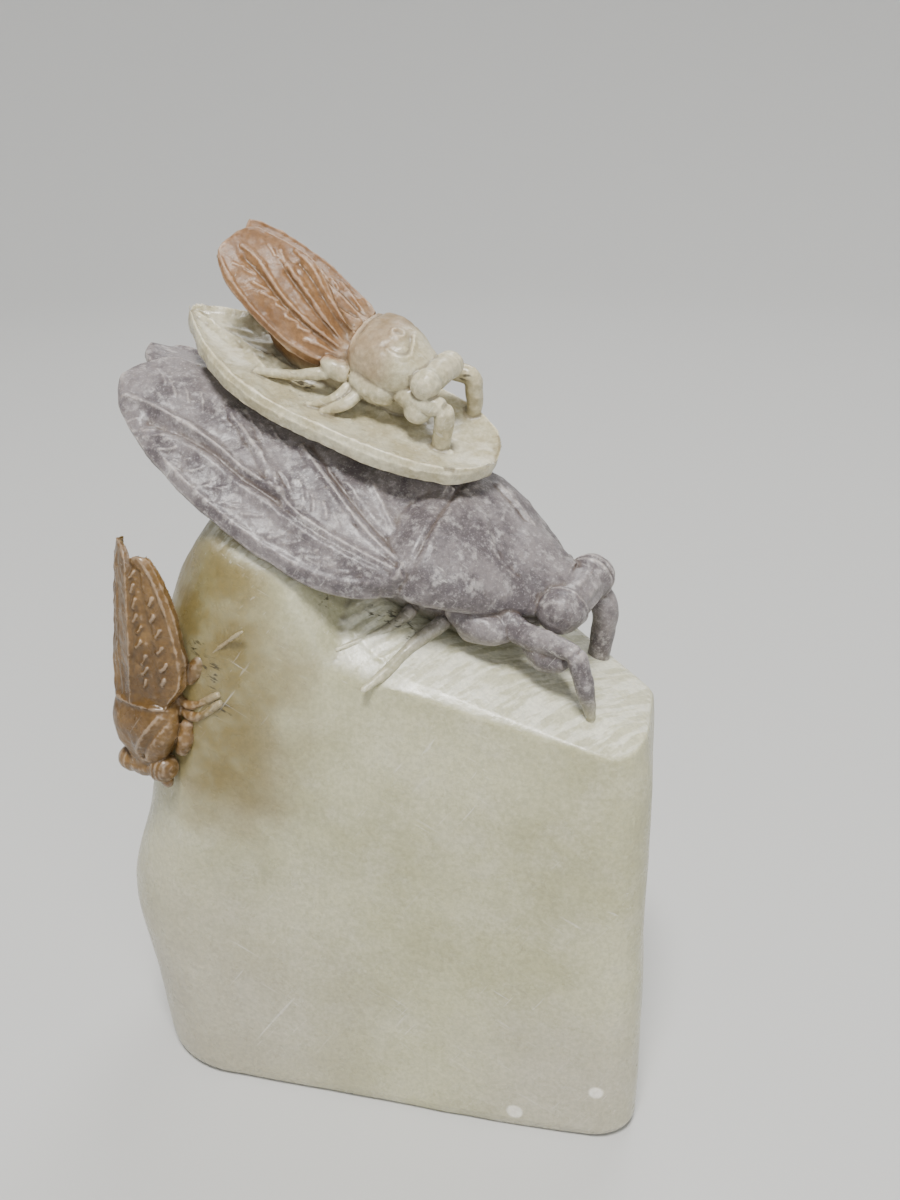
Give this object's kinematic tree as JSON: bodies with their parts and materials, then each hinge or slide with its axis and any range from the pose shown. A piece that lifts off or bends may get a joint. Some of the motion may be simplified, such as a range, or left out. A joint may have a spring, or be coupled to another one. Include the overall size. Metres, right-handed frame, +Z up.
{
  "type": "stone carving",
  "caption": "Upright soapstone block carved with cicadas: a large cicada lies on its sloping top under a leaf and a small cicada, with another head down on the block's side.",
  "frame": {"origin": "middle of the flat underside", "axes": "+Z up, the show side with the large cicada's near wing faces -Y, the large cicada's head points to +X"},
  "size_m": [0.0617, 0.0317, 0.0977],
  "materials": {
    "soapstone": "hand-carved, lightly polished, pale green-white with grey, orange-brown and cream layers"
  },
  "bodies": {
    "root": {"stone_carving": "soapstone"}
  },
  "joints": []
}
